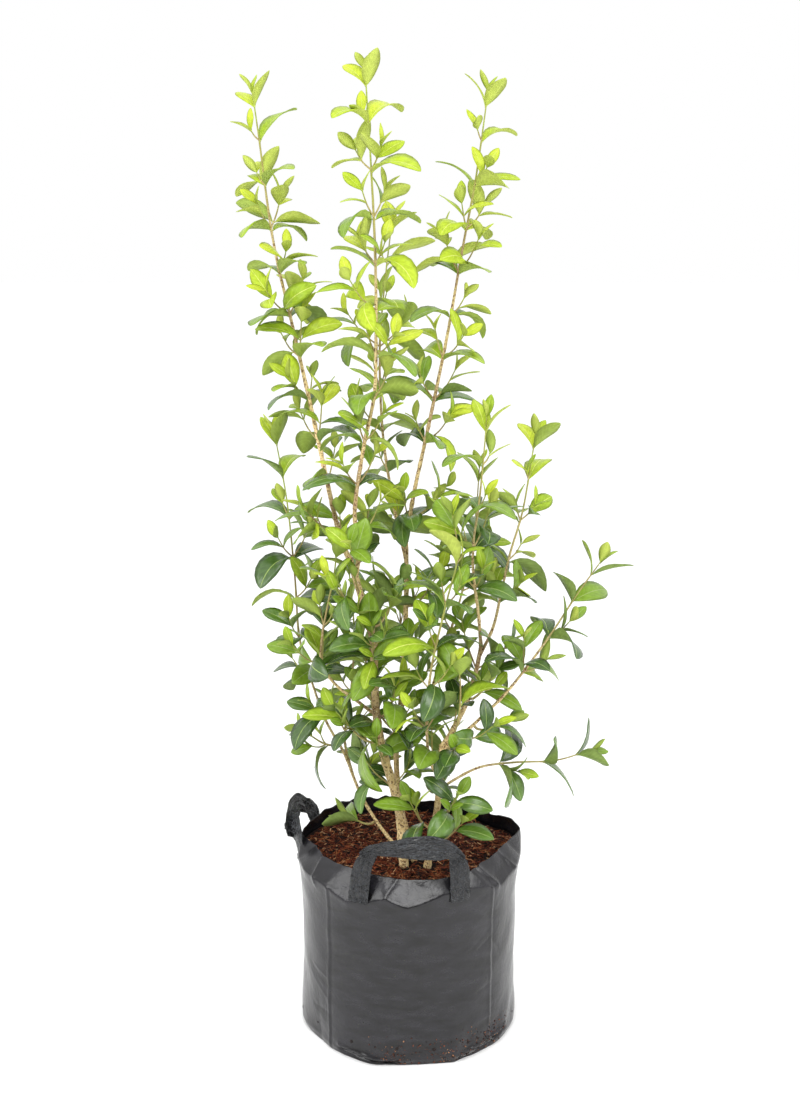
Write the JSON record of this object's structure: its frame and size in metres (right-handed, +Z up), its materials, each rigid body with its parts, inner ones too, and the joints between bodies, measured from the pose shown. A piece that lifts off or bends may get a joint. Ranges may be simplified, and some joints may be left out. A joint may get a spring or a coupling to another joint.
{
  "type": "potted barbados cherry",
  "caption": "Young evergreen barbados cherry shrub with slender upright leafy stems, growing in a round black film nursery bag with strap handles.",
  "frame": {"origin": "centre of the bag's flat underside", "axes": "+Z up, -Y towards the side that the picture shows, +X to the right of that view"},
  "size_m": [0.6191, 0.4513, 1.5116],
  "materials": {
    "bark": "grey-brown bark dotted with pale pores",
    "leaf": "smooth glossy leaves, fresh green at the tips and darker lower down",
    "black_film": "satin black plastic film with soft creases",
    "black_strap": "wrinkled black plastic strap",
    "bark_fibre": "loose red-brown coir and bark fibre"
  },
  "bodies": {
    "root": {"far_right_bough": "bark", "far_right_foliage": "leaf", "far_right_shoot_1": "leaf", "front_bough": "bark", "front_foliage": "leaf", "front_right_bough": "bark", "front_right_foliage": "leaf", "growing_medium": "bark_fibre", "handle_front": "black_strap", "handle_left": "black_strap", "inner_right_bough": "bark", "inner_right_foliage": "leaf", "left_bough": "bark", "left_foliage": "leaf", "left_shoot_1": "leaf", "left_side_bough": "bark", "left_side_foliage": "leaf", "low_left_bough": "bark", "low_left_foliage": "leaf", "low_left_shoot_1": "leaf", "low_left_shoot_2": "leaf", "low_left_shoot_3": "leaf", "low_right_bough": "bark", "low_right_foliage": "leaf", "main_stem": "bark", "main_stem_shoot_1": "leaf", "main_stem_shoot_2": "leaf", "main_stem_shoot_3": "leaf", "main_stem_shoot_4": "leaf", "main_stem_shoot_5": "leaf", "main_stem_shoot_6": "leaf", "middle_bough": "bark", "middle_foliage": "leaf", "outer_right_bough": "bark", "outer_right_foliage": "leaf", "planter_bag": "black_film", "rear_bough": "bark", "rear_foliage": "leaf", "rear_left_bough": "bark", "rear_left_foliage": "leaf", "rear_right_bough": "bark", "rear_right_foliage": "leaf", "rear_shoot_1": "leaf", "right_bough": "bark", "right_foliage": "leaf", "right_shoot_1": "leaf", "right_stem": "bark", "right_stem_shoot_1": "leaf", "right_stem_shoot_2": "leaf", "right_stem_shoot_3": "leaf", "right_stem_shoot_4": "leaf", "side_stem": "bark", "side_stem_shoot_1": "leaf", "side_stem_shoot_2": "leaf", "side_stem_shoot_3": "leaf", "side_stem_shoot_4": "leaf", "upright_bough": "bark", "upright_shoot_1": "leaf"}
  },
  "joints": []
}
